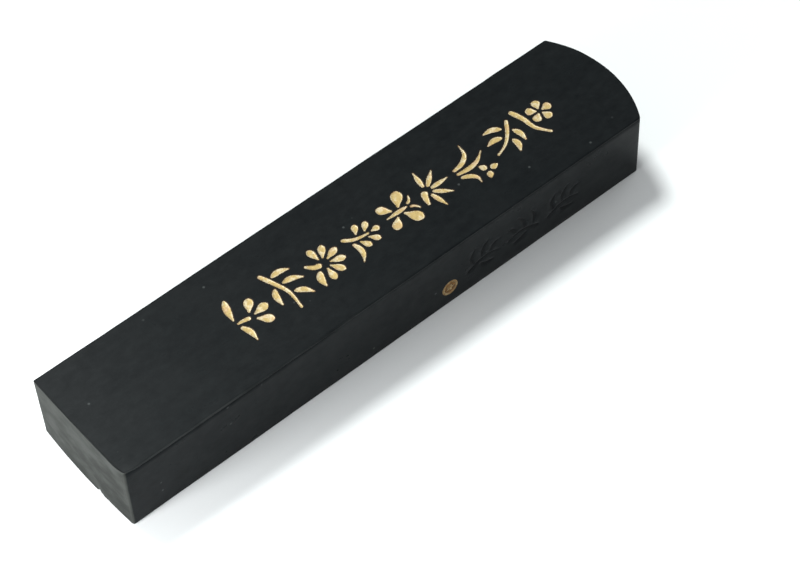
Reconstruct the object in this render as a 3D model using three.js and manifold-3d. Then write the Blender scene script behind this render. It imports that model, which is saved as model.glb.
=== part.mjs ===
// An ink stick for calligraphy: a pressed block of soot and glue that is ground on a wet inkstone.
// One end is ground flat and the other is a shallow arch. A column of nine small garden sprays is
// pressed into the top face, each stroke a pocket with its own gilt filling, and a small gilt
// flower seal and three blind (ungilded) sprigs are pressed into the front side.
// Units are millimetres. X runs from the flat grinding end to the arched end, Y to the back, and
// Z up. The origin is on the resting face, under the middle of the block.
import * as THREE from "three";
import { mergeVertices } from "three/addons/utils/BufferGeometryUtils.js";
import Module from "manifold-3d";

// ---- Driving dimensions ----
const LENGTH = 119.5; // grinding end to the crown of the arch
const WIDTH = 25.5;
const THICKNESS = 15;
const ARCH_RISE = 3.8; // how far the crown stands past the arch's two corners
const EDGE_BREAK = 0.4; // worn rounding of the long edges and both rims
const CORNER_WEAR = 0.9; // rounding of the grinding end's upright corners

const POCKET_DEPTH = 0.45; // a gilded stroke's recess
const GILT_THICKNESS = 0.32; // the filling lies a little below the surface
const GILT_GAP = 0.05; // between a filling and the wall of its pocket
const BLIND_DEPTH = 0.2; // an ungilded stroke's recess
const CUTTER_REACH = 1; // how far a cutter stands out of the face that it cuts

const COLUMN_TOP = 42.6; // X of the spray nearest the arched end
const COLUMN_PITCH = 8.28; // from one spray to the next
const COLUMN_SHIFT = -0.4; // Y of the column's middle

const SEAL_X = 10.4;
const SEAL_HEIGHT = 4.3;
const SEAL_RADIUS = 1.75;
const SEAL_RIM = 0.5; // width of the seal's ring
const SEAL_PETALS = 5;
const FLOWER_WAIST = 0.43; // radius between the seal's petals, and at their tips
const FLOWER_REACH = 0.9;

const BLIND_X = [18.2, 27.7, 37.2];
const BLIND_HEIGHT = 7.3;

const STRAIGHT_STEPS = 6; // lengths that a straight brush stroke is made in
const BENT_STEPS = 8;
const ARC_SEGMENTS = 12; // for half a circle, and for the arch

// ---- Materials ----
const INK = { color: 0x24282a, roughness: 0.6, metalness: 0 };
const GILT = { color: 0xcfa862, roughness: 0.42, metalness: 0.75 };

const wasm = await Module();
wasm.setup();

// ---- Solids ----

// A closed geometry as a manifold-3d solid, placed by a matrix.
function solidOf(geometry, matrix = new THREE.Matrix4()) {
  const bare = geometry.index ? geometry.toNonIndexed() : geometry.clone();
  bare.deleteAttribute("normal");
  bare.deleteAttribute("uv");
  const merged = mergeVertices(bare.applyMatrix4(matrix), 1e-4);
  const triVerts = new Uint32Array(merged.index.array);
  const vertProperties = merged.attributes.position.array;
  return new wasm.Manifold(new wasm.Mesh({ numProp: 3, vertProperties, triVerts }));
}

// The solid back as a geometry with flat faces.
function geometryOf(solid) {
  const { vertProperties, triVerts } = solid.getMesh();
  const shared = new THREE.BufferGeometry();
  shared.setAttribute("position", new THREE.BufferAttribute(vertProperties, 3));
  shared.setIndex(new THREE.BufferAttribute(triVerts, 1));
  const geometry = shared.toNonIndexed();
  geometry.computeVertexNormals();
  return geometry;
}

// A flat outline made solid between two heights over the face that it lies on.
function slab(shape, low, high) {
  const settings = { depth: high - low, bevelEnabled: false, curveSegments: ARC_SEGMENTS };
  return new THREE.ExtrudeGeometry(shape, settings).translate(0, 0, low);
}

// ---- Brush strokes ----

// How a stroke's width runs from its start (t = 0) to its end (t = 1), as a share of the whole.
const BLUNT = 0.16; // the share left at a tip
const WEIGHTS = {
  stem: (t) => Math.min(1, 0.55 + 5 * t) * (1 - 0.62 * t * t),
  leaf: (t) => Math.sin(Math.PI * t ** 0.75) ** 0.8,
  petal: (t) => Math.sin(Math.PI * t ** 1.7) ** 0.55,
  blade: (t) => Math.sin(Math.PI * (0.12 + 0.88 * t) ** 0.9),
};

// A stroke follows its points, [x, y] in its spray's own plane.
const stroke = (name, weight, width, points) => ({ name, weight, width, points });

// A stroke that points away from a centre, between two distances from it.
function ray(name, weight, width, [x, y], degrees, near, far) {
  const angle = THREE.MathUtils.degToRad(degrees);
  const at = (distance) => [x + distance * Math.cos(angle), y + distance * Math.sin(angle)];
  return stroke(name, weight, width, [at(near), at(far)]);
}

// Several rays, their angles evenly spaced.
function fan(name, count, weight, width, centre, fromDegrees, toDegrees, near, far) {
  return Array.from({ length: count }, (_, i) => {
    const degrees = THREE.MathUtils.lerp(fromDegrees, toDegrees, i / (count - 1));
    return ray(`${name}_${i + 1}`, weight, width, centre, degrees, near, far);
  });
}

// The stroke's outline, grown all round by the given amount.
function outlineOf({ weight, width, points }, grow) {
  const curve = new THREE.SplineCurve(points.map(([x, y]) => new THREE.Vector2(x, y)));
  const steps = points.length > 2 ? BENT_STEPS : STRAIGHT_STEPS;
  const left = [];
  const right = [];
  for (let i = 0; i <= steps; i++) {
    const t = i / steps;
    const along = curve.getTangentAt(t);
    const across = new THREE.Vector2(-along.y, along.x);
    const half = (width / 2) * Math.max(BLUNT, WEIGHTS[weight](t)) + grow;
    const past = i === 0 ? -grow : i === steps ? grow : 0;
    const middle = curve.getPointAt(t).addScaledVector(along, past);
    left.push(middle.clone().addScaledVector(across, half));
    right.unshift(middle.clone().addScaledVector(across, -half));
  }
  return new THREE.Shape([...right, ...left]);
}

// ---- The nine sprays, each about 9 mm by 7 mm, drawn with the arched end upwards ----
const SPRAYS = {
  plum: [
    ...fan("plum_petal", 5, "petal", 1.7, [-0.9, 0.9], 90, 378, 0.55, 2.6),
    stroke("plum_twig", "stem", 1.05, [[-4.3, -3.4], [-1.6, -2.6], [1.4, -2.3], [4.2, -0.6]]),
  ],
  bamboo: [
    stroke("bamboo_stem", "stem", 0.75, [[-3.3, 3.2], [-0.9, 1.4], [1.0, -0.8], [2.0, -3.4]]),
    stroke("bamboo_leaf_1", "leaf", 1.2, [[-2.2, 1.2], [-3.2, -0.3], [-3.4, -2.3]]),
    stroke("bamboo_leaf_2", "leaf", 1.2, [[-0.6, -0.1], [-1.1, -1.6], [-0.8, -3.4]]),
    stroke("bamboo_leaf_3", "leaf", 1.15, [[-0.9, 2.6], [0.7, 3.1], [2.6, 2.9]]),
    stroke("bamboo_leaf_4", "leaf", 1.2, [[0.8, 1.1], [2.3, 1.2], [3.9, 0.4]]),
  ],
  orchid: [
    stroke("orchid_blade_1", "blade", 0.95, [[-0.5, -3.5], [-0.9, -1.2], [-2.3, 0.6], [-4.5, 1.1]]),
    stroke("orchid_blade_2", "blade", 0.95, [[0.5, -3.5], [0.8, -1.0], [0.4, 1.3], [-1.0, 3.4]]),
    stroke("orchid_blade_3", "blade", 0.95, [[1.5, -3.4], [2.3, -1.9], [3.4, -1.1], [4.7, -1.3]]),
    ...fan("orchid_petal", 3, "leaf", 1.25, [3.3, 1.6], -30, 210, 0.4, 2.0),
  ],
  pine: [
    ...fan("pine_needle", 5, "blade", 0.95, [-0.3, -1.7], 10, 170, 1.1, 4.9),
    stroke("pine_twig", "stem", 1.25, [[-0.4, -2.0], [0.4, -2.7], [2.4, -3.3]]),
  ],
  butterfly: [
    ray("butterfly_forewing_1", "petal", 2.2, [0.4, 0.2], 33, 0.5, 4.2),
    ray("butterfly_forewing_2", "petal", 2.2, [-0.4, 0.2], 147, 0.5, 4.2),
    ray("butterfly_hindwing_1", "petal", 1.8, [0.4, -0.5], -44, 0.6, 3.5),
    ray("butterfly_hindwing_2", "petal", 1.8, [-0.4, -0.5], 224, 0.6, 3.5),
    stroke("butterfly_body", "leaf", 0.85, [[0, 1.8], [0, -2.8]]),
    stroke("butterfly_feeler_1", "stem", 0.55, [[0.42, 2.15], [0.8, 2.9], [1.8, 3.5]]),
    stroke("butterfly_feeler_2", "stem", 0.55, [[-0.42, 2.15], [-0.8, 2.9], [-1.8, 3.5]]),
  ],
  wheat: [
    stroke("wheat_stem", "stem", 0.8, [[-1.7, -3.5], [-0.5, -1.8], [0, 0.1], [0.1, 1.3]]),
    ray("wheat_grain_1", "petal", 1.25, [-1.0, -0.7], 150, 0, 2.3),
    ray("wheat_grain_2", "petal", 1.25, [0.6, -1.1], 30, 0, 2.3),
    ray("wheat_grain_3", "petal", 1.25, [-0.6, 0.9], 138, 0, 2.3),
    ray("wheat_grain_4", "petal", 1.25, [0.7, 0.7], 42, 0, 2.3),
    ray("wheat_grain_5", "petal", 1.25, [0.1, 1.8], 88, 0, 1.8),
    stroke("wheat_blade", "blade", 1.05, [[0.3, -2.4], [1.8, -2.1], [3.2, -2.4], [4.6, -3.4]]),
  ],
  daisy: [
    ...fan("daisy_petal", 6, "petal", 1.4, [0.1, -0.6], -6, 186, 1.15, 4.1),
    stroke("daisy_stem", "stem", 1.1, [[0.1, -1.1], [-0.3, -2.4], [-1.5, -3.6]]),
    stroke("daisy_leaf", "leaf", 1.4, [[1.0, -2.1], [2.4, -3.0], [4.3, -3.2]]),
  ],
  reed: [
    stroke("reed_stem", "stem", 0.9, [[-5.2, -2.6], [-2.2, -1.5], [1.0, -0.6], [5.0, -1.0]]),
    stroke("reed_leaf_1", "leaf", 1.2, [[-3.5, -1.1], [-3.7, 0.7], [-3.0, 2.6]]),
    stroke("reed_leaf_2", "leaf", 1.2, [[-1.3, -0.3], [-1.1, 1.6], [0.0, 3.4]]),
    stroke("reed_leaf_3", "leaf", 1.2, [[1.3, 0.2], [2.2, 1.7], [3.8, 2.8]]),
    stroke("reed_leaf_4", "leaf", 1.2, [[-1.2, -2.1], [0.3, -2.9], [2.5, -3.1]]),
  ],
  lotus: [
    ...fan("lotus_petal", 3, "petal", 1.75, [0.9, -0.9], 50, 146, 1.2, 4.3),
    stroke("lotus_stem", "stem", 0.85, [[0.9, -0.7], [0.6, -1.9], [0.5, -3.2]]),
    stroke("lotus_leaf", "leaf", 1.35, [[-5.0, -2.0], [-2.8, -2.8], [-0.4, -3.3]]),
    stroke("lotus_ripple", "blade", 1.15, [[1.4, -3.1], [3.2, -2.5], [5.4, -2.6]]),
  ],
};

// A blind sprig in the side: a low stem and four leaves.
const SPRIG = [
  stroke("stem", "stem", 0.65, [[-3.7, -2.4], [-1.0, -1.2], [1.4, -0.9], [3.7, -1.6]]),
  stroke("leaf_1", "leaf", 1.0, [[-2.3, -0.9], [-2.7, 1.0], [-1.8, 3.0]]),
  stroke("leaf_2", "leaf", 1.0, [[-0.4, -0.3], [0.1, 1.6], [1.3, 3.2]]),
  stroke("leaf_3", "leaf", 0.95, [[1.6, -0.2], [2.6, 0.9], [3.7, 1.4]]),
  stroke("leaf_4", "leaf", 0.95, [[-0.8, -2.0], [0.4, -2.9], [2.3, -3.1]]),
];

// The same sprig the other way round.
const mirrored = (strokes) =>
  strokes.map((each) => ({ ...each, points: each.points.map(([x, y]) => [-x, y]) }));

// ---- Faces: a group's own XY plane lies in the face and its Z points out of it ----
function onTop(x, y) {
  const face = new THREE.Group();
  face.position.set(x, y, THICKNESS);
  face.rotation.z = -Math.PI / 2;
  return face;
}

function onFront(x, z) {
  const face = new THREE.Group();
  face.position.set(x, -WIDTH / 2, z);
  face.rotation.x = Math.PI / 2;
  return face;
}

// ---- The ink body ----
function blockOutline() {
  const corner = LENGTH / 2 - ARCH_RISE;
  const radius = (ARCH_RISE ** 2 + (WIDTH / 2) ** 2) / (2 * ARCH_RISE);
  const sweep = Math.asin(WIDTH / 2 / radius);
  const [left, side, worn] = [-LENGTH / 2, WIDTH / 2, CORNER_WEAR];
  const shape = new THREE.Shape();
  shape.moveTo(left + worn, -side);
  shape.lineTo(corner, -side);
  shape.absarc(LENGTH / 2 - radius, 0, radius, -sweep, sweep, false);
  shape.lineTo(left + worn, side);
  shape.absarc(left + worn, side - worn, worn, Math.PI / 2, Math.PI, false);
  shape.lineTo(left, -side + worn);
  shape.absarc(left + worn, -side + worn, worn, Math.PI, 1.5 * Math.PI, false);
  return shape;
}

function block() {
  const settings = {
    depth: THICKNESS - 2 * EDGE_BREAK,
    bevelThickness: EDGE_BREAK,
    bevelSize: EDGE_BREAK,
    bevelOffset: -EDGE_BREAK,
    bevelSegments: 2,
    curveSegments: ARC_SEGMENTS,
  };
  const geometry = new THREE.ExtrudeGeometry(blockOutline(), settings);
  return solidOf(geometry.translate(0, 0, EDGE_BREAK));
}

// ---- Assembly ----
const inkStick = new THREE.Group();
const cutters = [];

function cut(shape, depth, face) {
  face.updateMatrixWorld(true);
  cutters.push(solidOf(slab(shape, -depth, CUTTER_REACH), face.matrixWorld));
}

// A pocket in the body, and the gilt that fills it.
function gild(name, pocket, filling, face) {
  cut(pocket, POCKET_DEPTH, face);
  const geometry = slab(filling, -POCKET_DEPTH, GILT_THICKNESS - POCKET_DEPTH);
  const mesh = new THREE.Mesh(geometry, new THREE.MeshStandardMaterial(GILT));
  mesh.name = `${name}_gilt`;
  face.add(mesh);
}

Object.values(SPRAYS).forEach((strokes, i) => {
  const face = onTop(COLUMN_TOP - i * COLUMN_PITCH, COLUMN_SHIFT);
  for (const each of strokes) {
    gild(each.name, outlineOf(each, GILT_GAP), outlineOf(each, 0), face);
  }
  inkStick.add(face);
});

BLIND_X.forEach((x, i) => {
  const face = onFront(x, BLIND_HEIGHT);
  const strokes = i % 2 ? mirrored(SPRIG) : SPRIG;
  for (const each of strokes) cut(outlineOf(each, 0), BLIND_DEPTH, face);
});

// The seal is a ring round a flower, whose petals run together into one filling.
function disc(radius, hole) {
  const shape = new THREE.Shape().absarc(0, 0, radius, 0, 2 * Math.PI, false);
  if (hole) shape.holes.push(new THREE.Path().absarc(0, 0, hole, 0, 2 * Math.PI, true));
  return shape;
}

function flower(grow) {
  const corners = 6 * SEAL_PETALS;
  const points = Array.from({ length: corners }, (_, i) => {
    const angle = (i / corners) * 2 * Math.PI;
    const swell = (1 + Math.cos(SEAL_PETALS * angle)) / 2;
    const radius = THREE.MathUtils.lerp(FLOWER_WAIST, FLOWER_REACH, swell) + grow;
    return new THREE.Vector2(radius * Math.cos(angle), radius * Math.sin(angle));
  });
  return new THREE.Shape(points);
}

const seal = onFront(SEAL_X, SEAL_HEIGHT);
const inner = SEAL_RADIUS - SEAL_RIM;
gild("seal_ring", disc(SEAL_RADIUS + GILT_GAP, inner - GILT_GAP), disc(SEAL_RADIUS, inner), seal);
gild("seal_flower", flower(GILT_GAP), flower(0), seal);
inkStick.add(seal);

const pressed = cutters.reduce((body, cutter) => body.subtract(cutter), block());
const body = new THREE.Mesh(geometryOf(pressed), new THREE.MeshStandardMaterial(INK));
body.name = "ink_body";
inkStick.add(body);

export default inkStick;
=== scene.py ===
"""The looks of an ink stick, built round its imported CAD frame. For Blender 4.5.

Shapes are worked out in millimetres, in the frame's own axes, and scaled to metres as each mesh is
made. The pressed block is one closed mesh: rings of points climb its walls, and its top, bottom and
front are triangulated between those rings and the outlines of the pressed strokes, which come from
the CAD nodes.
"""

import math

import bpy
import numpy as np
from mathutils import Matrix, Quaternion, Vector, geometry, noise


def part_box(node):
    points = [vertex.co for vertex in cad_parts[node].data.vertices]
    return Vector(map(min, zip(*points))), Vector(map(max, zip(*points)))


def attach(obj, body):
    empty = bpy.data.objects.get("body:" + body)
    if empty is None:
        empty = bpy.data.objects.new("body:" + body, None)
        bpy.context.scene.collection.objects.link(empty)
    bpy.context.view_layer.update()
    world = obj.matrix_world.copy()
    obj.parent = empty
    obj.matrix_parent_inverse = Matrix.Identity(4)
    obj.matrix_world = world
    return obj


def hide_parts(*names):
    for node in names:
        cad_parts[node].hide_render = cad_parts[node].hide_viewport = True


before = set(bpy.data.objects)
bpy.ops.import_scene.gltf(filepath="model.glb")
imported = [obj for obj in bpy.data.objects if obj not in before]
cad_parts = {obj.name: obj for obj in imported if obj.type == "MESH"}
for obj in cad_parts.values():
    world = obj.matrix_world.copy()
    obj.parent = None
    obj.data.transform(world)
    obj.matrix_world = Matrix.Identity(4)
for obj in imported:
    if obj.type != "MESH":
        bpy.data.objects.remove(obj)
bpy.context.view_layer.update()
noise.seed_set(1)  # noise_vector's offsets are otherwise new in each run

MM = 0.001
SAME = 0.01  # places closer together than this count as the same

# ---- The block: its size comes from the frame ----
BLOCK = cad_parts["ink_body"]
HALF_LENGTH, HALF_WIDTH, THICKNESS = np.array(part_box("ink_body")[1]) / MM
TOP_EDGE = 0.24  # radius of the worn top edge
FOOT_EDGE = 0.3  # radius of the edge round the resting face
END_EDGE = 0.35  # how much of the top edge's radius is left where the end was ground
CHIP_DEPTH = 0.75  # how deep the chips in its lower edge can get
CHIP_LENGTH = 0.9  # about how long a chip is
CHIP_RARITY = 0.22  # of the noise from -1 to 1, what has to be passed for a chip
CHIP_HEIGHT = 1.0  # how far up the end the chips reach
END_BULGE = 0.42  # how far the ground end stands out at the middle of its foot
WORN_SHIFT = (0.34, 0.4, -0.06)  # how far handling has worn back the end's top front corner
WORN_REACH = 1.7  # and how far from the corner the wear reaches
MOST_DROP = 1.45  # a worn top edge is at most this many times deeper than usual
FRONT_CORNER = 0.5  # radius of the grinding end's upright corner at the front
BACK_CORNER = 0.35  # and at the back
ARCH_CORNER = 0.55  # radius of the arched end's upright corners
ROUND_STEPS = 4  # rings round a worn edge
SUPPORT = 0.12  # from a worn edge to the next ring on the flat beside it
BORDER = 0.04  # and, on the top face, to a second ring
LINE_WIDTH = 0.18  # width of the line of painted shade that the top face has beside the grinding end
WAVES = [(13, 0.035), (4.2, 0.008)]  # length and height of the faces' slight unevenness
WALL_STEP = 0.9  # between the points round the block, and between the rings up its walls
CORNER_STEP = 0.12  # between the points round its upright corners
END_STEP = 0.22  # between the points across the grinding end
FACE_STEP = 1.1  # between the points inside the top and bottom faces
WINDOW_MARGIN = 2  # from the marks on the front side to the border of the patch that holds them
CLEAR_OF_RIM = 0.45  # from the top face's border to the first points inside it
CLEAR_OF_POCKET = 0.4  # and from a stroke's outline to the first points beside it
CLEAR_ON_FRONT = 0.3  # the same two on the front side
HAIRLINE_DROP = 0.45  # from the top face down to where the end's painted highlight hairline starts
CORNER_DROP = 0.4  # and down to where the painted highlight on its upright corner starts
SEAM_DROP = 0.42  # from the top face down to the faint mould seam in the walls
SEAM_HALF = 0.14  # half its width
SEAM_DEPTH = 0.14

# ---- Pressed strokes ----
CURVE_POINTS = 12  # worked out between two corners of an outline
STROKE_STEP = 0.12  # between the points kept along a stroke's outline
FEWEST_POINTS = 12  # round the smallest outline
POCKET_DEPTH = 0.42  # of the pocket's wall, under the gilt
POCKET_RINGS = [  # offset from the stroke's outline, depth, how much gold has been smeared there
    (0.15, 0.0, 0.0),
    (0.09, 0.0, 0.18),
    (0.035, 0.012, 0.36),
    (-0.03, POCKET_DEPTH, 0.36),
]
SEAL_LIP = 0.6  # how wide the lip of the seal's small pockets is, beside the others
GILT_RIM = 0.03  # depth of the gilt where it meets the pocket's wall
GILT_DEPTH = 0.11  # and in the middle of a stroke
GILT_SLOPE = 0.2  # width of the slope between them
GILT_FOOT = 0.4  # depth of its underside
GILT_LUMPS = 0.03  # how uneven its surface is
GILT_EDGE = 0.06  # from its outline to the first points inside
GILT_STEP = 0.15  # between the points further in
GILT_CLEAR = 0.13  # from its outline to the first of them
GILT_PALE = 0.25  # width of the rim painted paler, as a painted highlight
BLIND_EDGE = 0.03  # depth at the outline of a blind mark
BLIND_DEPTH = 0.15  # and in the middle of it
BLIND_SLOPE = 0.3  # width of the slope between them
BLIND_LIP = 0.06  # width of the rounded edge outside its outline
BLIND_STEP = 0.16  # between the points inside it
BLIND_CLEAR = 0.07  # from its outline to the first of them
BLIND_SHADE = 0.28  # how dark the painted shade of a blind mark is at its outline
BLIND_SHADE_MORE = 0.26  # and how much darker that painted shade is in its middle


# ---------------------------------------------------------------- flat geometry
def on_top(points, depth):
    """Points [x, y] of the top face, sunk by a depth, in space."""
    return np.column_stack([points[:, 0], points[:, 1], THICKNESS - depth])


def on_front(points, depth):
    """Points [x, z] of the front side, sunk by a depth, in space."""
    return np.column_stack([points[:, 0], depth - HALF_WIDTH, points[:, 1]])


def raised(points, height):
    """Points [x, y] raised to a height above the resting face, in space."""
    return np.column_stack([points[:, 0], points[:, 1], height])


def outlines(node, out, across, lowest=None):
    """The closed outlines of a CAD node's faces that look along out, at its outermost level or,
    with lowest, at any level under that, down to that depth. They are points along the two axes in
    across, anticlockwise, or clockwise round a hole. The one with the most points comes first."""
    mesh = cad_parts[node].data
    points = np.array([v.co for v in mesh.vertices]) / MM
    height = points @ np.array(out)
    top = height.max()
    low, high = (top - SAME, top + SAME) if lowest is None else (top - lowest, top - SAME)
    keys = [tuple(row) for row in np.round(points * 1e4).astype(int)]
    place = dict(zip(keys, points[:, across]))
    edges = set()
    for face in mesh.polygons:
        level = height[face.vertices[0]]
        if face.normal.dot(Vector(out)) > 0.99 and low < level < high:
            ring = [keys[i] for i in face.vertices]
            edges.update(zip(ring, ring[1:] + ring[:1]))
    following = {a: b for a, b in edges if (b, a) not in edges}
    loops = []
    while following:
        start = min(following)
        loop = [start]
        while following[loop[-1]] != start:
            loop.append(following.pop(loop[-1]))
        following.pop(loop[-1])
        loops.append(np.array([place[key] for key in loop]))
    return sorted(loops, key=lambda loop: -len(loop))


def brushed(loop):
    """A closed outline as a smooth curve through its corners, with evenly spaced points: a
    centripetal Catmull-Rom curve, then smoothed a little more."""
    fine = []
    for i in range(len(loop)):
        p0, p1, p2, p3 = (loop[(i + k) % len(loop)] for k in (-1, 0, 1, 2))
        k1 = math.sqrt(np.linalg.norm(p1 - p0))
        k2 = k1 + math.sqrt(np.linalg.norm(p2 - p1))
        k3 = k2 + math.sqrt(np.linalg.norm(p3 - p2))
        t = np.linspace(k1, k2, CURVE_POINTS, endpoint=False)[:, None]
        a1 = (k1 - t) / k1 * p0 + t / k1 * p1
        a2 = (k2 - t) / (k2 - k1) * p1 + (t - k1) / (k2 - k1) * p2
        a3 = (k3 - t) / (k3 - k2) * p2 + (t - k2) / (k3 - k2) * p3
        b1 = (k2 - t) / k2 * a1 + t / k2 * a2
        b2 = (k3 - t) / (k3 - k1) * a2 + (t - k1) / (k3 - k1) * a3
        fine.append((k2 - t) / (k2 - k1) * b1 + (t - k1) / (k2 - k1) * b2)
    fine = np.vstack(fine)
    closed = np.vstack([fine, fine[:1]])
    length = np.concatenate([[0], np.cumsum(np.linalg.norm(np.diff(closed, axis=0), axis=1))])
    count = max(FEWEST_POINTS, round(length[-1] / STROKE_STEP))
    at = np.arange(count) * length[-1] / count
    even = np.column_stack([np.interp(at, length, closed[:, k]) for k in (0, 1)])
    return (np.roll(even, 1, axis=0) + 2 * even + np.roll(even, -1, axis=0)) / 4


def outward(loop):
    """The unit normals of an anticlockwise outline, away from what it encloses."""
    along = np.roll(loop, -1, axis=0) - np.roll(loop, 1, axis=0)
    across = np.column_stack([along[:, 1], -along[:, 0]])
    return across / np.linalg.norm(across, axis=1)[:, None]


def distance(points, loops):
    """From each point to the nearest of the outlines."""
    nearest = np.full(len(points), np.inf)
    for loop in loops:
        a = loop
        edge = np.roll(loop, -1, axis=0) - a
        square = (edge**2).sum(1)
        for start in range(0, len(points), 2000):
            some = points[start : start + 2000]
            rel = some[:, None] - a[None]
            t = np.clip((rel * edge).sum(2) / square, 0, 1)
            gap = np.linalg.norm(rel - t[..., None] * edge, axis=2).min(1)
            nearest[start : start + 2000] = np.minimum(nearest[start : start + 2000], gap)
    return nearest


def inside(points, loops):
    """True for each point that an odd number of the outlines go round."""
    crossings = np.zeros(len(points), int)
    for loop in loops:
        a, b = loop, np.roll(loop, -1, axis=0)
        y = points[:, 1][:, None]
        spans = (a[:, 1] > y) != (b[:, 1] > y)
        rise = np.where(a[:, 1] == b[:, 1], 1, b[:, 1] - a[:, 1])
        x = a[:, 0] + (y - a[:, 1]) / rise * (b[:, 0] - a[:, 0])
        crossings += (spans & (points[:, 0][:, None] < x)).sum(1)
    return crossings % 2 == 1


def grown(loop, amount):
    """An outline moved outwards by an amount, or inwards if it is negative."""
    moved = loop + outward(loop) * amount
    return moved[distance(moved, [loop]) > 0.97 * abs(amount)]


def scattered(low, high, step, seed):
    """Points over a rectangle, in rows a little shaken."""
    x, y = np.meshgrid(np.arange(low[0], high[0], step), np.arange(low[1], high[1], step))
    grid = np.column_stack([x.ravel(), y.ravel()])
    shake = np.random.default_rng(seed).uniform(-0.25, 0.25, grid.shape)
    return grid + shake * step


def smoothstep(value):
    """0 up to 0, 1 from 1, and smooth between them."""
    t = np.clip(value, 0, 1)
    return t * t * (3 - 2 * t)


# ---------------------------------------------------------------- meshes
INSIDE_BORDERS = 1  # delaunay_2d_cdt's number for triangles within the given edges only
CDT_TOLERANCE = 1e-6


class Skin:
    """One closed mesh: its points in millimetres, its faces, and the masks its material reads."""

    def __init__(self, *masks):
        self.points = np.empty((0, 3))
        self.faces = []
        self.masks = {name: np.empty(0) for name in masks}

    def add(self, points, **values):
        """Adds points and returns their numbers. A mask that isn't given is 0 there."""
        first = len(self.points)
        self.points = np.vstack([self.points, points])
        for name in self.masks:
            value = np.broadcast_to(values.get(name, 0.0), len(points))
            self.masks[name] = np.concatenate([self.masks[name], value])
        return list(range(first, first + len(points)))

    def patch(self, border, flat, loops, loose, flip=False, keep=None):
        """Triangles that fill a border of points the mesh has. flat holds the border in the plane,
        and loops and loose hold (plane points, numbers) inside it, the loops kept as edges. keep
        says, from their middles, which triangles stay."""
        plane, numbers, edges = [], [], []
        for points, ids in [(flat, border), *loops]:
            first = len(numbers)
            plane += [Vector(p) for p in points]
            numbers += ids
            count = len(ids)
            edges += [(first + i, first + (i + 1) % count) for i in range(count)]
        for points, ids in loose:
            plane += [Vector(p) for p in points]
            numbers += ids
        filled = geometry.delaunay_2d_cdt(plane, edges, [], INSIDE_BORDERS, CDT_TOLERANCE)
        spots, _, triangles, sources, _, _ = filled
        corner = []
        for spot, olds in zip(spots, sources):
            if not olds:  # two edges crossed here, so the nearest given point takes its place
                olds = [min(range(len(plane)), key=lambda i: (plane[i] - spot).length)]
            corner.append(numbers[olds[0]])
        if keep is not None:
            middles = np.array([np.mean([spots[i] for i in face], axis=0) for face in triangles])
            triangles = [face for face, kept in zip(triangles, keep(middles)) if kept]
        faces = [[corner[i] for i in face] for face in triangles]
        faces = [face for face in faces if len(set(face)) == 3]
        self.faces += [face[::-1] for face in faces] if flip else faces

    def finish(self, name, materials, material_of=None):
        """The mesh as a Blender object, its points moved by the block's slight unevenness."""
        mesh = bpy.data.meshes.new(name)
        mesh.from_pydata([Vector(p) * MM for p in uneven(self.points)], [], self.faces)
        for mask, values in self.masks.items():
            mesh.attributes.new(mask, "FLOAT", "POINT").data.foreach_set("value", values)
        for material in materials:
            mesh.materials.append(material)
        if material_of is not None:
            mesh.polygons.foreach_set("material_index", [material_of(face) for face in self.faces])
        mesh.polygons.foreach_set("use_smooth", [True] * len(self.faces))
        mesh.validate()
        made = bpy.data.objects.new(name, mesh)
        bpy.context.scene.collection.objects.link(made)
        return made


def uneven(points):
    """The points of a pressed and dried block: its faces are flat only to a few hundredths of a
    millimetre, and one corner is worn round. The resting face keeps its level."""
    moved = np.array([sum(wave(p, *each) for each in WAVES) for p in points])
    moved[:, 2] *= smoothstep(points[:, 2] / 3)
    away = np.linalg.norm(points - (-HALF_LENGTH, -HALF_WIDTH, THICKNESS), axis=1)
    worn = np.exp(-((away / WORN_REACH) ** 2))
    return points + moved + worn[:, None] * WORN_SHIFT


def wave(point, length, height):
    """Smooth noise in space: how far the point moves, for waves of a length and height."""
    return np.array(noise.noise_vector(Vector(point) / length)) * height


def roughly(point, length, seed):
    """Smooth noise from -1 to 1 at a point."""
    return noise.noise(Vector(point) / length + Vector((seed * 7.3, seed * 3.1, seed * 5.7)))


# ---------------------------------------------------------------- the block
def arc(centre, radius, start, stop, step):
    """Points and outward normals round part of a circle, without its last point."""
    count = max(3, round(radius * (stop - start) / step))
    angles = start + (stop - start) * np.arange(count) / count
    normals = np.column_stack([np.cos(angles), np.sin(angles)])
    return np.array(centre) + radius * normals, normals


def straight(start, stop, step):
    """Points and outward normals along a straight line, without its last point."""
    start, stop = np.array(start, float), np.array(stop, float)
    length = np.linalg.norm(stop - start)
    count = round(length / step)
    along = (stop - start) / length
    normals = np.tile([along[1], -along[0]], (count, 1))
    return start + (stop - start) * (np.arange(count) / count)[:, None], normals


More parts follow.
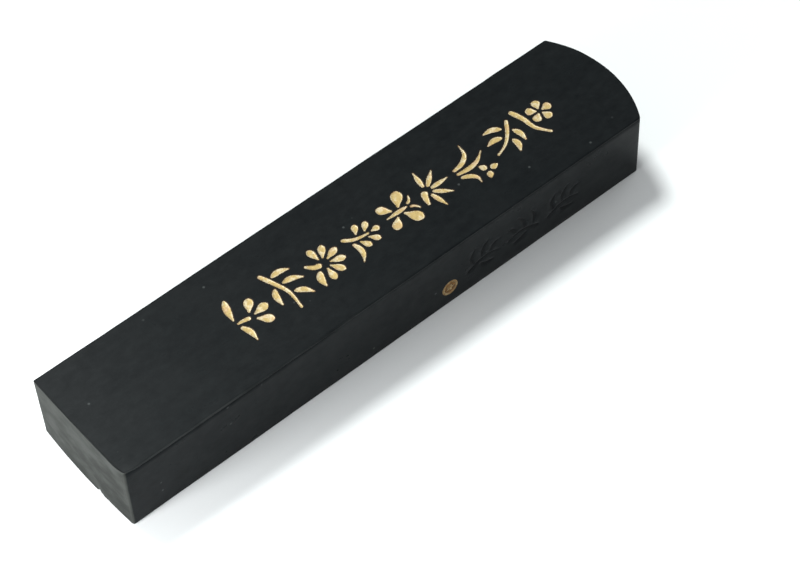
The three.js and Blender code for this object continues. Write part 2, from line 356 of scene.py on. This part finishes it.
def block_outline():
    """The block seen from above, anticlockwise from the front of the grinding end: its points and
    normals, and how many points its front run has."""
    on_sides = [v.co.x for v in BLOCK.data.vertices if abs(v.co.y) / MM > HALF_WIDTH - SAME]
    rise = HALF_LENGTH - max(on_sides) / MM
    radius = (rise**2 + HALF_WIDTH**2) / (2 * rise)
    centre = HALF_LENGTH - radius
    side = HALF_WIDTH - ARCH_CORNER
    corner = centre + math.sqrt((radius - ARCH_CORNER) ** 2 - side**2)
    turn = math.atan2(side, corner - centre)
    left, front, back = -HALF_LENGTH, FRONT_CORNER, BACK_CORNER
    quarter = math.pi / 2
    parts = [
        straight((left + front, -HALF_WIDTH), (corner, -HALF_WIDTH), WALL_STEP),
        arc((corner, -side), ARCH_CORNER, -quarter, -turn, CORNER_STEP),
        arc((centre, 0), radius, -turn, turn, WALL_STEP),
        arc((corner, side), ARCH_CORNER, turn, quarter, CORNER_STEP),
        straight((corner, HALF_WIDTH), (left + back, HALF_WIDTH), WALL_STEP),
        arc((left + back, HALF_WIDTH - back), back, quarter, 2 * quarter, CORNER_STEP),
        straight((left, HALF_WIDTH - back), (left, front - HALF_WIDTH), END_STEP),
        arc((left + front, front - HALF_WIDTH), front, 2 * quarter, 3 * quarter, CORNER_STEP),
    ]
    points, normals = (np.vstack([part[k] for part in parts]) for k in (0, 1))
    return points, normals, len(parts[0][0])


def profile():
    """The block's section from the foot to the top, as rings of (inset, height, seam share)."""
    turns = np.linspace(0, math.pi / 2, ROUND_STEPS + 1)
    foot = [(FOOT_EDGE * (1 - math.sin(t)), FOOT_EDGE * (1 - math.cos(t)), 0.0) for t in turns]
    foot.append((0.0, FOOT_EDGE + SUPPORT, 0.0))
    seam = THICKNESS - SEAM_DROP
    count = round((seam - SEAM_HALF - FOOT_EDGE) / WALL_STEP)
    wall = [(0.0, z, 0.0) for z in np.linspace(FOOT_EDGE, seam - SEAM_HALF, count + 1)[1:]]
    groove = [
        (0.0, seam - SEAM_HALF / 3, 0.8),
        (0.0, seam + SEAM_HALF / 3, 1.0),
        (0.0, seam + SEAM_HALF, 0.0),
    ]
    rim = [
        (TOP_EDGE * (1 - math.cos(t)), THICKNESS - TOP_EDGE * (1 - math.sin(t)), 0.0) for t in turns
    ]
    flat = [(TOP_EDGE + step, THICKNESS, 0.0) for step in (SUPPORT, SUPPORT + BORDER)]
    return foot + wall + groove + rim + flat


def near_end(x):
    """1 at the grinding end, fading to 0 a little past the middle of the block."""
    return smoothstep((20 - x) / 70)


def seam_strength(point, normal):
    """How plainly the mould seam shows at a point: clear by the grinding end, then broken. The end
    itself was ground, so it has none."""
    near = near_end(point[0])
    broken = smoothstep(0.5 + near**2 + 1.6 * roughly(point, 14, 1))
    pressed = 1 - smoothstep(-normal[0] * 1.3)
    return pressed * (0.25 + (0.2 + 0.55 * near) * broken)


def wear(point, normal):
    """How many times rounder or sharper than usual the block's edge is at a point [x, y, z]."""
    x, y, z = point
    usual = 1 + 0.45 * roughly((x, y, z * 0.2), 5, 2)
    if z < THICKNESS / 2:
        return usual
    return usual * (1 - (1 - END_EDGE) * smoothstep(-normal[0] * 1.5))


def bulge(points, normals, height):
    """How far the grinding end stands out of its flat: most at the middle of its foot, where small
    chips have also gone from its lower edge."""
    across = np.clip(1 - (points[:, 1] / HALF_WIDTH) ** 2, 0, 1)
    out = END_BULGE * across * (1 - 0.8 * height / THICKNESS)
    along = [(0, y, 0) for y in points[:, 1]]
    chips = np.array([max(0.0, roughly(p, CHIP_LENGTH, 8) - CHIP_RARITY) for p in along])
    few = np.array([smoothstep(0.5 + 2 * roughly(p, 5, 12)) for p in along])
    out = out - CHIP_DEPTH * chips * few * smoothstep((CHIP_HEIGHT - height) / 0.9)
    return out * (normals[:, 0] < -0.99)


def add_rings(skin, points, normals, rings):
    """Adds the block's rings of points: bulged, worn and grooved, with their masks."""
    for inset, height, seam in rings:
        places = [((*p, height), n) for p, n in zip(points, normals)]
        crease = np.array([seam * seam_strength(p, n) if seam else 0 for p, n in places])
        worn = np.array([wear(p, n) for p, n in places])
        # where the top face beside the grinding end gets a line of painted shade
        line = beside_end(normals) * (height > THICKNESS - SAME)
        innermost = inset > TOP_EDGE + SUPPORT
        out = bulge(points, normals, height) - inset * worn - SEAM_DEPTH * crease
        out -= innermost * LINE_WIDTH * line
        flat = points + normals * out[:, None]
        in_rim = height > THICKNESS - TOP_EDGE + SAME
        drop = (THICKNESS - height) * np.where(in_rim, np.minimum(worn, MOST_DROP), 1.0)
        skin.add(
            raised(flat, THICKNESS - drop),
            edge=edge_highlight_share(points, normals, height),
            ground=ground_share(flat, height),
            # the seam groove is painted darker through this mask, as painted shade
            recess=crease,
            line=line * (not innermost),
        )


def make_block(top_loops, gilt_front, blind_front, materials):
    """The pressed block, with a pocket for each gilt stroke and a groove for each blind one."""
    skin = Skin("recess", "ground", "edge", "stain", "line")
    points, normals, front_count = block_outline()
    rings = profile()
    around = len(points)
    add_rings(skin, points, normals, rings)

    # The window that the front's own patch fills: columns of points, and rings on the flat wall.
    front = [loop for loops in gilt_front + blind_front for loop in loops]
    reach = np.vstack(front)[:, 0]
    low, high = reach.min() - WINDOW_MARGIN, reach.max() + WINDOW_MARGIN
    columns = [i for i in range(front_count) if low < points[i, 0] < high]
    first, last = columns[0], columns[-1]
    walls = [k for k, (inset, _, seam) in enumerate(rings) if inset == 0 and seam == 0]
    bottom, top = walls[0], max(k for k in walls if rings[k][1] < THICKNESS - SEAM_DROP)
    for k in range(len(rings) - 1):
        for i in range(around):
            if not (bottom <= k < top and first <= i < last):
                j = (i + 1) % around
                lower, upper = k * around, (k + 1) * around
                skin.faces.append([lower + i, lower + j, upper + j, upper + i])

    fill_top(skin, [(len(rings) - 1) * around + i for i in range(around)], top_loops)
    border = [bottom * around + i for i in range(first, last)]
    border += [k * around + last for k in range(bottom, top)]
    border += [top * around + i for i in range(last, first, -1)]
    border += [k * around + first for k in range(top, bottom, -1)]
    fill_front(skin, border, gilt_front, blind_front)
    fill_foot(skin, around)

    ground = skin.masks["ground"]
    return skin.finish("ink_block", materials, lambda face: int(min(ground[i] for i in face) > 0))


def ground_share(points, height):
    """1 on the flat of the grinding end, 0 on the pressed faces, and between at its borders."""
    sideways = smoothstep((-HALF_LENGTH + 0.7 - points[:, 0]) / 0.6)
    upright = smoothstep((THICKNESS - height - 0.06) / 0.1) * smoothstep((height - 0.05) / 0.2)
    return sideways * upright


def beside_end(normals):
    """1 at the grinding end's side of the outline, 0 elsewhere."""
    return smoothstep(-normals[:, 0] * 2 - 0.5)


def edge_highlight_share(points, normals, height):
    """How much painted highlight the edges get: the front of the top face, near the end, the
    upright corner below it, and a hairline round the top of the end."""
    corner = smoothstep(-normals[:, 0] * 3) * smoothstep(-normals[:, 1] * 3)
    if height > THICKNESS - SAME:
        return np.zeros(len(points))
    if height < THICKNESS - TOP_EDGE:
        hairline = smoothstep((height - THICKNESS + HAIRLINE_DROP) / 0.15) * (normals[:, 0] < -0.9)
        return np.maximum(corner * smoothstep((THICKNESS - CORNER_DROP - height) / 0.6), hairline)
    along = np.array([0.75 + roughly((*p, 0), 6, 9) for p in points])
    return np.maximum(corner, near_end(points[:, 0]) * smoothstep(-normals[:, 1] * 2) * along)


def pockets(skin, loops, place, smeared=(), spread=1.0):
    """The rings of a pocket's lip and wall, as loops for a patch: spread scales how far they are
    from its outline. Gold has been smeared over what lies within the smeared outlines."""
    made = []
    for loop in loops:
        for amount, depth, usual in POCKET_RINGS:
            ring = grown(loop, amount * spread)
            stain = np.maximum(inside(ring, smeared), usual)
            # the foot of the pocket's wall is painted darker, as painted shade
            recess = float(depth == POCKET_DEPTH)
            ids = skin.add(place(ring, np.full(len(ring), depth)), recess=recess, stain=stain)
            made.append((ring, ids))
    return made


def fill_top(skin, border, strokes):
    """The top face, with a pocket for each gilt stroke."""
    flat = skin.points[border][:, :2]
    loops = [ring for loops in strokes for ring in pockets(skin, loops, on_top)]
    spread = scattered((-HALF_LENGTH, -HALF_WIDTH), (HALF_LENGTH, HALF_WIDTH), FACE_STEP, seed=4)
    spread = spread[inside(spread, [flat]) & (distance(spread, [flat]) > CLEAR_OF_RIM)]
    spread = spread[clear_of(spread, strokes, CLEAR_OF_POCKET)]
    ids = skin.add(on_top(spread, np.zeros(len(spread))))
    skin.patch(border, flat, loops, [(spread, ids)])


def fill_foot(skin, around):
    """The resting face, inside the block's lowest ring."""
    rim = skin.points[:around, :2]
    low, high = (-HALF_LENGTH, -HALF_WIDTH), (HALF_LENGTH, HALF_WIDTH)
    spread = scattered(low, high, 2 * FACE_STEP, seed=3)
    spread = spread[inside(spread, [rim]) & (distance(spread, [rim]) > FACE_STEP)]
    ids = skin.add(raised(spread, np.zeros(len(spread))))
    skin.patch(list(range(around)), rim, [], [(spread, ids)], flip=True)


def clear_of(points, strokes, gap):
    """True for each point outside the strokes and at least a gap from them."""
    clear = np.ones(len(points), bool)
    for loops in strokes:
        clear &= ~inside(points, loops[:1]) & (distance(points, loops) > gap)
    return clear


def fill_front(skin, border, gilt, blind):
    """The stretch of the front side with the seal's pockets and the blind sprigs."""
    flat = skin.points[border][:, [0, 2]]
    widest = max((loop for loops in gilt for loop in loops), key=len)
    loops = [ring for loops in gilt for ring in pockets(skin, loops, on_front, [widest], SEAL_LIP)]
    loose = []
    for number, outline in enumerate(blind):
        rim = grown(outline[0], BLIND_LIP)
        loops.append((rim, skin.add(on_front(rim, np.zeros(len(rim))))))
        edge = np.full(len(outline[0]), BLIND_EDGE)
        loops.append((outline[0], skin.add(on_front(outline[0], edge), recess=BLIND_SHADE)))
        low, high = outline[0].min(0), outline[0].max(0)
        floor = scattered(low, high, BLIND_STEP, seed=50 + number)
        away = distance(floor, outline)
        kept = inside(floor, outline) & (away > BLIND_CLEAR)
        floor, away = floor[kept], away[kept]
        depth = BLIND_EDGE + (BLIND_DEPTH - BLIND_EDGE) * smoothstep(away / BLIND_SLOPE)
        # painted shade, darker towards the middle of the blind mark
        recess = BLIND_SHADE + BLIND_SHADE_MORE * smoothstep(away / (BLIND_SLOPE / 2))
        loose.append((floor, skin.add(on_front(floor, depth), recess=recess)))
    spread = scattered(flat.min(0), flat.max(0), FACE_STEP * 0.7, seed=5)
    spread = spread[inside(spread, [flat]) & (distance(spread, [flat]) > CLEAR_ON_FRONT)]
    spread = spread[clear_of(spread, gilt + blind, CLEAR_ON_FRONT)]
    loose.append((spread, skin.add(on_front(spread, np.zeros(len(spread))))))
    skin.patch(border, flat, loops, loose)


# ---------------------------------------------------------------- the gilt
def make_gilt(name, loops, place, seed, material):
    """The gold in one stroke: it clings to the pocket's walls and lies lower in the middle."""
    skin = Skin("rim")
    edges = []
    for loop in loops:
        ids = skin.add(place(loop, np.full(len(loop), GILT_RIM)), rim=1.0)
        edges.append((loop, ids))
    spread = scattered(loops[0].min(0), loops[0].max(0), GILT_STEP, seed)
    near = np.vstack([grown(loop, -GILT_EDGE) for loop in loops])
    spread = np.vstack([near, spread[distance(spread, loops) > GILT_CLEAR]])
    spread = spread[inside(spread, loops)]
    away = distance(spread, loops)
    lumps = np.array([GILT_LUMPS * roughly((*p, seed), 0.6, 6) for p in spread])
    slope = smoothstep(away / GILT_SLOPE)
    depth = GILT_RIM + (GILT_DEPTH - GILT_RIM + lumps) * slope
    ids = skin.add(place(spread, depth), rim=1 - smoothstep(away / GILT_PALE))

    def filled(middles):
        return inside(middles, loops)

    skin.patch(edges[0][1], edges[0][0], edges[1:], [(spread, ids)], keep=filled)
    feet = [(loop, skin.add(place(loop, np.full(len(loop), GILT_FOOT)))) for loop, _ in edges]
    skin.patch(feet[0][1], feet[0][0], feet[1:], [], flip=True, keep=filled)
    for (_, upper), (_, lower) in zip(edges, feet):
        for i in range(len(upper)):
            j = (i + 1) % len(upper)
            skin.faces.append([upper[i], lower[i], lower[j], upper[j]])
    return skin.finish(name, [material])


# ---------------------------------------------------------------- materials
class Nodes:
    """A Principled material, and short ways to add the nodes that drive it."""

    def __init__(self, name, **values):
        self.material = bpy.data.materials.new(name)
        self.material.use_nodes = True
        self.tree = self.material.node_tree
        self.shader = self.tree.nodes["Principled BSDF"]
        for socket, value in values.items():
            self.shader.inputs[socket.replace("_", " ")].default_value = value
        self.place = self.add("ShaderNodeTexCoord").outputs["Object"]

    def add(self, kind, settings=None, **links):
        """A node, with its settings, and its inputs linked or set, by name or, as in i0, number."""
        node = self.tree.nodes.new(kind)
        for key, value in (settings or {}).items():
            setattr(node, key, value)
        for key, value in links.items():
            by_number = key[1:].isdigit()
            socket = node.inputs[int(key[1:]) if by_number else key.replace("_", " ")]
            if isinstance(value, bpy.types.NodeSocket):
                self.tree.links.new(value, socket)
            else:
                socket.default_value = value
        return node

    def stretched(self, scale, turn=(0, 0, 0)):
        """The object's own coordinates, scaled per axis, in waves per millimetre, and turned."""
        scaled = [s / MM for s in scale]
        node = self.add("ShaderNodeMapping", Vector=self.place, Scale=scaled, Rotation=turn)
        return node.outputs[0]

    def cloud(self, scale, detail=4.0, roughness=0.55, turn=(0, 0, 0)):
        """Smooth noise from 0 to 1."""
        place = self.stretched(scale, turn)
        node = self.add(
            "ShaderNodeTexNoise", Vector=place, Scale=1.0, Detail=detail, Roughness=roughness
        )
        return node.outputs[0]

    def levels(self, value, low, high, to_low=0.0, to_high=1.0):
        """A value from low to high mapped to another range, and clamped."""
        settings = {"clamp": True, "interpolation_type": "SMOOTHSTEP"}
        ends = {"i1": low, "i2": high, "i3": to_low, "i4": to_high}
        return self.add("ShaderNodeMapRange", settings, i0=value, **ends).outputs[0]

    def math(self, operation, a, b):
        """A Math node's result."""
        return self.add("ShaderNodeMath", {"operation": operation}, i0=a, i1=b).outputs[0]

    def mix(self, share, a, b):
        """A colour between a and b."""
        node = self.add("ShaderNodeMix", {"data_type": "RGBA"}, i0=share, i6=a, i7=b)
        return node.outputs[2]

    def mask(self, name):
        """A mask held by the mesh."""
        return self.add("ShaderNodeAttribute", {"attribute_name": name}).outputs["Fac"]

    def bump(self, height, strength, depth, normal=None):
        """A bumped normal. depth is in millimetres."""
        links = {"Height": height, "Strength": strength, "Distance": depth * MM}
        if normal is not None:
            links["Normal"] = normal
        return self.add("ShaderNodeBump", **links).outputs[0]

    def set(self, **links):
        """Links the shader's inputs, and gives the finished material."""
        for socket, value in links.items():
            self.tree.links.new(value, self.shader.inputs[socket.replace("_", " ")])
        return self.material


def tint(red, green, blue):
    """An opaque colour, in linear light."""
    return (red, green, blue, 1.0)


def ink_pressed():
    """Soot and glue as the mould left it: a dull satin black, mottled, with faint streaks."""
    m = Nodes("ink_pressed", IOR=1.15, Roughness=0.31)
    streaks = m.cloud((0.035, 0.6, 0.6), 5.0, 0.6)
    clouds = m.cloud((0.08, 0.11, 0.11), 3.0, 0.5)
    mottle = m.cloud((0.42, 0.6, 0.6), 5.0, 0.65)
    grain = m.cloud((3.2, 3.2, 3.2), 3.0, 0.6)
    plain = tint(0.006, 0.0075, 0.0084)
    base = m.mix(m.levels(clouds, 0.3, 0.7), plain, tint(0.0076, 0.0092, 0.01))
    base = m.mix(m.levels(streaks, 0.35, 0.75, 0.0, 0.3), base, tint(0.0092, 0.011, 0.0116))
    base = m.mix(m.levels(mottle, 0.42, 0.72, 0.0, 0.9), base, tint(0.0108, 0.0128, 0.0136))
    base = m.mix(m.levels(mottle, 0.48, 0.25, 0.0, 0.8), base, tint(0.0035, 0.0047, 0.0055))
    base = m.mix(m.levels(grain, 0.5, 0.8, 0.0, 0.5), base, tint(0.0115, 0.0132, 0.0138))
    # painted shade: the pockets, blind marks and seam groove are painted darker where shade would
    # fall
    base = m.mix(m.mask("recess"), base, tint(0.0038, 0.0044, 0.0048))
    # pale specks, more of them near the grinding end
    speck_cells = m.add("ShaderNodeTexVoronoi", Vector=m.stretched((0.42, 0.42, 0.42)), Scale=1.0)
    speck = m.levels(speck_cells.outputs["Distance"], 0.13, 0.05)
    speck = m.math("MULTIPLY", speck, speck_share(m, speck_cells))
    base = m.mix(speck, base, tint(0.06, 0.066, 0.066))
    # painted highlight along the top front edge, the end's upright corner and its hairline
    base = m.mix(m.levels(m.mask("edge"), 0.0, 1.0, 0.0, 0.9), base, tint(0.032, 0.034, 0.034))
    # painted shade: a dark line along the top face's edge by the grinding end
    base = m.mix(m.mask("line"), base, tint(0.0018, 0.0022, 0.0025))
    smear = m.math("MULTIPLY", m.mask("stain"), m.levels(grain, 0.35, 0.65, 0.3, 0.9))
    base = m.mix(smear, base, tint(0.26, 0.13, 0.042))
    roughness = m.levels(m.cloud((0.1, 0.25, 0.25), 4.0, 0.6), 0.25, 0.75, 0.28, 0.33)
    roughness = m.math("ADD", roughness, m.levels(mottle, 0.3, 0.7, 0.02, -0.02))
    roughness = m.math("MAXIMUM", roughness, m.levels(m.mask("recess"), 0.0, 1.0, 0.0, 0.8))
    roughness = m.math("MINIMUM", roughness, m.levels(m.mask("line"), 0.0, 1.0, 1.0, 0.22))
    fine = m.bump(grain, 0.28, 0.02)
    lines = m.bump(m.cloud((0.05, 2.4, 2.4), 4.0, 0.65), 0.12, 0.01, fine)
    return m.set(Base_Color=base, Roughness=roughness, Normal=m.bump(mottle, 0.15, 0.02, lines))


def speck_share(m, speck_cells):
    """Which of the cells hold a pale speck: about one in ten, and nearly half by the end."""
    parts = m.add("ShaderNodeSeparateColor", i0=speck_cells.outputs["Color"])
    along = m.add("ShaderNodeSeparateXYZ", i0=m.place).outputs["X"]
    more = m.levels(along, (10 - HALF_LENGTH) * MM, (7 - HALF_LENGTH) * MM, 0.0, 0.35)
    return m.levels(m.math("ADD", parts.outputs[0], more), 0.89, 0.92, 0.0, 0.8)


def ink_ground():
    """The grinding end, rubbed on a stone: greyer and rougher, smudged, and painted paler towards
    its top and back, as painted light.
    """
    m = Nodes("ink_ground", IOR=1.2, Roughness=0.6)
    place = m.add("ShaderNodeSeparateXYZ", i0=m.place)
    smudges = m.cloud((0.2, 0.13, 0.24), 5.0, 0.6, (math.radians(-25), 0, 0))
    rubbing = m.cloud((0.6, 0.2, 0.9), 4.0, 0.6, (math.radians(-8), 0, 0))
    grain = m.cloud((2.6, 2.6, 2.6), 4.0, 0.65)
    # painted light and shade: paler towards the back and the top, darker at the foot near the floor
    back = m.levels(place.outputs["Y"], -HALF_WIDTH * MM, HALF_WIDTH * MM, 0.0, 0.5)
    up = m.levels(place.outputs["Z"], 0.0, THICKNESS * MM, 0.0, 0.6)
    light = m.math("MULTIPLY", m.math("ADD", back, up), 0.8)
    light = m.math("ADD", light, m.levels(smudges, 0.2, 0.8, -0.3, 0.5))
    painted_shade_dark, painted_light_pale = tint(0.009, 0.0103, 0.0088), tint(0.0226, 0.0246, 0.0218)
    base = m.mix(m.levels(light, 0.0, 1.0), painted_shade_dark, painted_light_pale)
    base = m.mix(m.levels(rubbing, 0.45, 0.75, 0.0, 0.3), base, tint(0.034, 0.036, 0.033))
    base = m.mix(m.levels(grain, 0.45, 0.2, 0.0, 0.5), base, tint(0.011, 0.012, 0.0115))
    base = m.mix(m.levels(m.mask("ground"), 0.0, 1.0), tint(0.012, 0.0145, 0.015), base)
    # painted highlight: a paler hairline and corner on the grinding end
    base = m.mix(m.levels(m.mask("edge"), 0.0, 1.0, 0.0, 0.45), base, tint(0.045, 0.047, 0.044))
    roughness = m.levels(smudges, 0.3, 0.7, 0.68, 0.52)
    fine = m.bump(grain, 0.3, 0.03)
    return m.set(Base_Color=base, Roughness=roughness, Normal=m.bump(smudges, 0.12, 0.05, fine))


def gilt(name, painted_light_pale, deep, ruddy, brown, roughness):
    """Gold powder bound in glue and brushed into a stroke: thick and deep gold in the middle, with
    a painted highlight where it climbs the sides, ruddy in places, and thin, brown and painted with
    shade at the very rim."""
    m = Nodes(name, Metallic=0.3, IOR=1.3)
    mottle = m.cloud((0.9, 0.9, 0.9), 4.0, 0.6)
    blush = m.cloud((0.55, 0.55, 0.55), 3.0, 0.5)
    flecks = m.cloud((6.0, 6.0, 6.0), 2.0, 0.6)
    # painted highlight: paler where the gilt climbs the pocket's walls
    side = m.math("ADD", m.mask("rim"), m.levels(mottle, 0.3, 0.7, -0.7, 0.7))
    base = m.mix(m.levels(side, 0.0, 0.8), deep, painted_light_pale)
    base = m.mix(m.levels(blush, 0.52, 0.68, 0.0, 0.55), base, ruddy)
    base = m.mix(m.levels(flecks, 0.55, 0.8, 0.0, 0.35), base, brown)
    # the very rim: thin brown paint, darkened further as painted shade of the pocket's wall
    thin_shaded_rim = m.math("ADD", m.mask("rim"), m.levels(flecks, 0.3, 0.7, -0.2, 0.2))
    base = m.mix(m.levels(thin_shaded_rim, 0.75, 1.1, 0.0, 0.95), base, brown)
    rough = m.levels(flecks, 0.3, 0.7, roughness - 0.05, roughness + 0.1)
    return m.set(Base_Color=base, Roughness=rough, Normal=m.bump(flecks, 0.4, 0.03))


def floor_material():
    """White card, very slightly uneven."""
    m = Nodes("floor_card", Roughness=0.9, IOR=1.3)
    clouds = m.cloud((0.004, 0.004, 0.004))
    return m.set(Base_Color=m.mix(clouds, tint(0.88, 0.9, 0.9), tint(0.92, 0.93, 0.93)))


# ---------------------------------------------------------------- the stage
AIM = Vector((1.59, -9.59, 7.5)) * MM  # where the camera looks: near the block's middle
CAMERA_AZIMUTH, CAMERA_ELEVATION, CAMERA_ROLL = -37.94, 52.84, -3.0  # degrees
CAMERA_DISTANCE = 0.429  # metres
LENS = 110.6
FLOOR_HALF = 4.0  # metres
SKY_LOW, SKY_HIGH = 12, 28  # elevations between which the surround dims, in degrees
SKY_LEVEL = 0.2  # how bright it is above that, beside the horizon


def direction(azimuth, elevation):
    """From the object towards a viewer at an azimuth and elevation, in degrees."""
    a, e = math.radians(azimuth), math.radians(elevation)
    return Vector((math.sin(a) * math.cos(e), -math.cos(a) * math.cos(e), math.sin(e)))


def add_camera():
    """The camera at the chosen view."""
    back = direction(CAMERA_AZIMUTH, CAMERA_ELEVATION)
    camera = bpy.data.objects.new("camera", bpy.data.cameras.new("camera"))
    camera.data.lens = LENS
    camera.data.clip_start = 0.01
    camera.location = AIM + back * CAMERA_DISTANCE
    camera.rotation_mode = "QUATERNION"
    roll = Quaternion((0, 0, 1), math.radians(CAMERA_ROLL))
    camera.rotation_quaternion = (-back).to_track_quat("-Z", "Y") @ roll
    bpy.context.scene.collection.objects.link(camera)
    bpy.context.scene.camera = camera


def aimed(name, lamp, azimuth, elevation, away):
    """Hangs a lamp in a direction from the camera's aim, pointing at it."""
    light = bpy.data.objects.new(name, lamp)
    towards = direction(azimuth, elevation)
    light.location = AIM + towards * away
    light.rotation_mode = "QUATERNION"
    light.rotation_quaternion = (-towards).to_track_quat("-Z", "Y")
    bpy.context.scene.collection.objects.link(light)


def add_sun(name, azimuth, elevation, spread, strength, colour):
    """An even, distant light: a softbox spread degrees wide, seen from anywhere on the floor."""
    lamp = bpy.data.lights.new(name, "SUN")
    lamp.angle = math.radians(spread)
    lamp.energy = strength
    lamp.color = colour
    aimed(name, lamp, azimuth, elevation, 1.0)


def add_softbox(name, azimuth, elevation, away, size, watts, colour):
    """A round softbox near the block."""
    lamp = bpy.data.lights.new(name, "AREA")
    lamp.shape = "DISK"
    lamp.size = size
    lamp.energy = watts
    lamp.color = colour
    aimed(name, lamp, azimuth, elevation, away)


def add_floor():
    """A flat white card under the block."""
    mesh = bpy.data.meshes.new("floor")
    corners = [(x * FLOOR_HALF, y * FLOOR_HALF, 0) for x, y in ((-1, -1), (1, -1), (1, 1), (-1, 1))]
    mesh.from_pydata(corners, [], [(0, 1, 2, 3)])
    mesh.materials.append(floor_material())
    floor = bpy.data.objects.new("floor", mesh)
    bpy.context.scene.collection.objects.link(floor)


def add_sky():
    """A pale surround: white at and below the horizon, dimmer overhead."""
    world = bpy.data.worlds.new("studio")
    world.use_nodes = True
    tree = world.node_tree
    place = tree.nodes.new("ShaderNodeTexCoord")
    parts = tree.nodes.new("ShaderNodeSeparateXYZ")
    ramp = tree.nodes.new("ShaderNodeMapRange")
    ramp.interpolation_type = "SMOOTHSTEP"
    values = (0, math.sin(math.radians(SKY_LOW)), math.sin(math.radians(SKY_HIGH)), 1.0, SKY_LEVEL)
    for socket, value in zip(ramp.inputs, values):
        socket.default_value = value
    sky = tree.nodes["Background"]
    sky.inputs["Color"].default_value = (0.96, 0.99, 1.0, 1.0)
    tree.links.new(place.outputs["Generated"], parts.inputs[0])
    tree.links.new(parts.outputs["Z"], ramp.inputs["Value"])
    tree.links.new(ramp.outputs[0], sky.inputs["Strength"])
    bpy.context.scene.world = world
    bpy.context.scene.view_settings.view_transform = "Standard"


add_camera()
add_floor()
add_sky()
add_sun("key", 179, 59, spread=16, strength=2.85, colour=(0.96, 1.0, 0.99))
add_softbox("fill", -87, 14, away=0.18, size=0.07, watts=0.36, colour=(0.97, 0.99, 1.0))
add_softbox("rim", 100, 25, away=0.6, size=0.4, watts=0.5, colour=(0.95, 0.98, 1.0))
add_softbox("edge", 5, 29, away=0.39, size=0.08, watts=0.06, colour=(1.0, 1.0, 1.0))

# ---------------------------------------------------------------- assembly
TOP, FRONT = (0, 0, 1), (0, -1, 0)
GILT_SEED = 100  # of the first gilt piece
BLIND_CAD_DEPTH = 0.3  # in the CAD block, the blind marks are less deep than this, the seal deeper
GILT_NODES = sorted(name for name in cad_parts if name.endswith("_gilt"))
SEAL_NODES = [name for name in GILT_NODES if name.startswith("seal")]

strokes = {}
for node in GILT_NODES:
    flat = outlines(node, FRONT, [0, 2]) if node in SEAL_NODES else outlines(node, TOP, [0, 1])
    strokes[node] = [brushed(loop) for loop in flat]
blind = [[brushed(loop)] for loop in outlines("ink_body", FRONT, [0, 2], BLIND_CAD_DEPTH)]

on_top_strokes = [strokes[node] for node in GILT_NODES if node not in SEAL_NODES]
on_front_strokes = [strokes[node] for node in SEAL_NODES]
block = make_block(on_top_strokes, on_front_strokes, blind, [ink_pressed(), ink_ground()])
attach(block, "root")
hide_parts("ink_body")

bright = gilt(
    "gilt_bright",
    painted_light_pale=tint(0.63, 0.54, 0.355),
    deep=tint(0.49, 0.36, 0.145),
    ruddy=tint(0.53, 0.34, 0.19),
    brown=tint(0.14, 0.07, 0.025),
    roughness=0.55,
)
dull = gilt(
    "gilt_dull",
    painted_light_pale=tint(0.4, 0.31, 0.165),
    deep=tint(0.25, 0.14, 0.05),
    ruddy=tint(0.19, 0.085, 0.03),
    brown=tint(0.05, 0.025, 0.008),
    roughness=0.45,
)
for number, node in enumerate(GILT_NODES):
    place, material = (on_front, dull) if node in SEAL_NODES else (on_top, bright)
    name = node[: -len("_gilt")]
    piece = make_gilt(name, strokes[node], place, GILT_SEED + number, material)
    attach(piece, "root")
    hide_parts(node)
